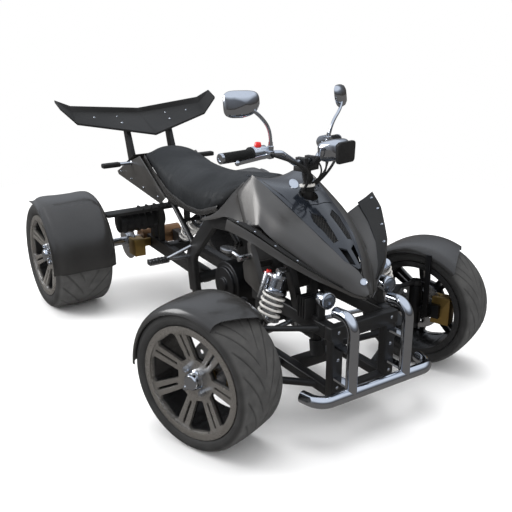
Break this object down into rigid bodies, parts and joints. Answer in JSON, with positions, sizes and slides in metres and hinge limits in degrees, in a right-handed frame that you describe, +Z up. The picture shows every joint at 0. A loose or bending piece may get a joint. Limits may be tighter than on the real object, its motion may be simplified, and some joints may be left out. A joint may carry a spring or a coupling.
{
  "type": "electric quad bike",
  "caption": "Sport quad bike with a beaked grey fairing, low saddle, rear wing, tube bumper and steered front wheels under turning mudguards.",
  "frame": {"origin": "middle of the footprint on the ground", "axes": "+Y to the back along the length, forward is -Y, +X to the rider's left, +Z up"},
  "size_m": [1.3831, 1.95, 1.1235],
  "materials": {
    "tyre": "matte",
    "wheel_grey": "satin",
    "chrome": "polished",
    "steel": "brushed",
    "frame_black": "satin",
    "body_grey": "satin metallic",
    "guard_charcoal": "satin",
    "hood_black": "gloss",
    "mesh_black": "matte mesh",
    "plastic_black": "matte",
    "seat_vinyl": "smooth vinyl",
    "rubber": "matte",
    "cast_grey": "cast",
    "gold": "anodised",
    "copper": "metallic",
    "spring_white": "gloss"
  },
  "bodies": {
    "chassis": {"front_bulkhead": "frame_black", "frame_rails": "frame_black", "main_spars": "frame_black", "head_tube": "frame_black", "cross_members": "frame_black", "seat_rails": "frame_black", "frame_brackets": "frame_black", "battery_box": "plastic_black", "motor_casing": "cast_grey", "rear_motor": "frame_black", "swingarm": "frame_black", "axle_carrier": "copper", "rear_caliper": "gold", "wishbones": "frame_black", "dampers": "steel", "springs": "spring_white", "fairing": "body_grey", "hood": "hood_black", "grilles": "mesh_black", "winglets": "plastic_black", "side_panels": "body_grey", "foot_guards": "body_grey", "seat": "seat_vinyl", "tail_panels": "body_grey", "tail_plate": "plastic_black", "rear_signals": "plastic_black", "wing": "plastic_black", "wing_posts": "frame_black", "bumper": "chrome", "lamps": "chrome", "foot_pegs": "steel", "brake_pedal": "steel", "rear_fenders": "guard_charcoal", "rear_stay": "plastic_black"},
    "steering": {"steering_column": "frame_black", "handlebar": "chrome", "grips": "rubber", "bar_controls": "chrome", "mirrors": "chrome", "instrument_pod": "chrome", "pod_panel": "plastic_black", "cables": "rubber"},
    "rear_axle": {"rear_axle": "steel", "rear_rims": "wheel_grey", "rear_tyres": "tyre"},
    "knuckle_left": {"knuckle_left": "steel", "front_caliper_left": "gold", "front_fender_left": "guard_charcoal"},
    "front_wheel_left": {"front_tyre_left": "tyre", "front_rim_left": "wheel_grey", "front_hub_left": "steel"},
    "track_rod_left": {"track_rod_left": "steel"},
    "knuckle_right": {"knuckle_right": "steel", "front_caliper_right": "gold", "front_fender_right": "guard_charcoal"},
    "front_wheel_right": {"front_tyre_right": "tyre", "front_rim_right": "wheel_grey", "front_hub_right": "steel"},
    "track_rod_right": {"track_rod_right": "steel"}
  },
  "joints": [
    {"name": "steer", "type": "hinge", "parent": "chassis", "child": "steering", "pos_m": [0, -0.615, 0.205], "axis": [0, 0.1368, 0.9906], "range_deg": [-55, 15]},
    {"name": "kingpin_left", "type": "hinge", "parent": "chassis", "child": "knuckle_left", "pos_m": [0.445, -0.674, 0.2395], "axis": [0, 0, 1], "range_deg": [-55, 15]},
    {"name": "track_rod_left", "type": "hinge", "parent": "steering", "child": "track_rod_left", "pos_m": [-0.02673, -0.53707, 0.23247], "axis": [0, 0.1368, 0.9906], "range_deg": [-15, 55]},
    {"name": "front_wheel_left_spin", "type": "hinge", "parent": "knuckle_left", "child": "front_wheel_left", "pos_m": [0.445, -0.674, 0.2395], "axis": [0.9397, 0.342, 0], "continuous": true},
    {"name": "kingpin_right", "type": "hinge", "parent": "chassis", "child": "knuckle_right", "pos_m": [-0.445, -0.674, 0.2395], "axis": [0, 0, 1], "range_deg": [-55, 15]},
    {"name": "track_rod_right", "type": "hinge", "parent": "steering", "child": "track_rod_right", "pos_m": [-0.02673, -0.53433, 0.25228], "axis": [0, 0.1368, 0.9906], "range_deg": [-15, 55]},
    {"name": "front_wheel_right_spin", "type": "hinge", "parent": "knuckle_right", "child": "front_wheel_right", "pos_m": [-0.445, -0.674, 0.2395], "axis": [0.9397, 0.342, 0], "continuous": true},
    {"name": "rear_axle_spin", "type": "hinge", "parent": "chassis", "child": "rear_axle", "pos_m": [0, 0.716, 0.259], "axis": [1, 0, 0], "continuous": true}
  ],
  "couplings": [
    {"joint": "kingpin_left", "follows": "steer", "ratio": 1},
    {"joint": "track_rod_left", "follows": "steer", "ratio": -1},
    {"joint": "kingpin_right", "follows": "steer", "ratio": 1},
    {"joint": "track_rod_right", "follows": "steer", "ratio": -1}
  ]
}
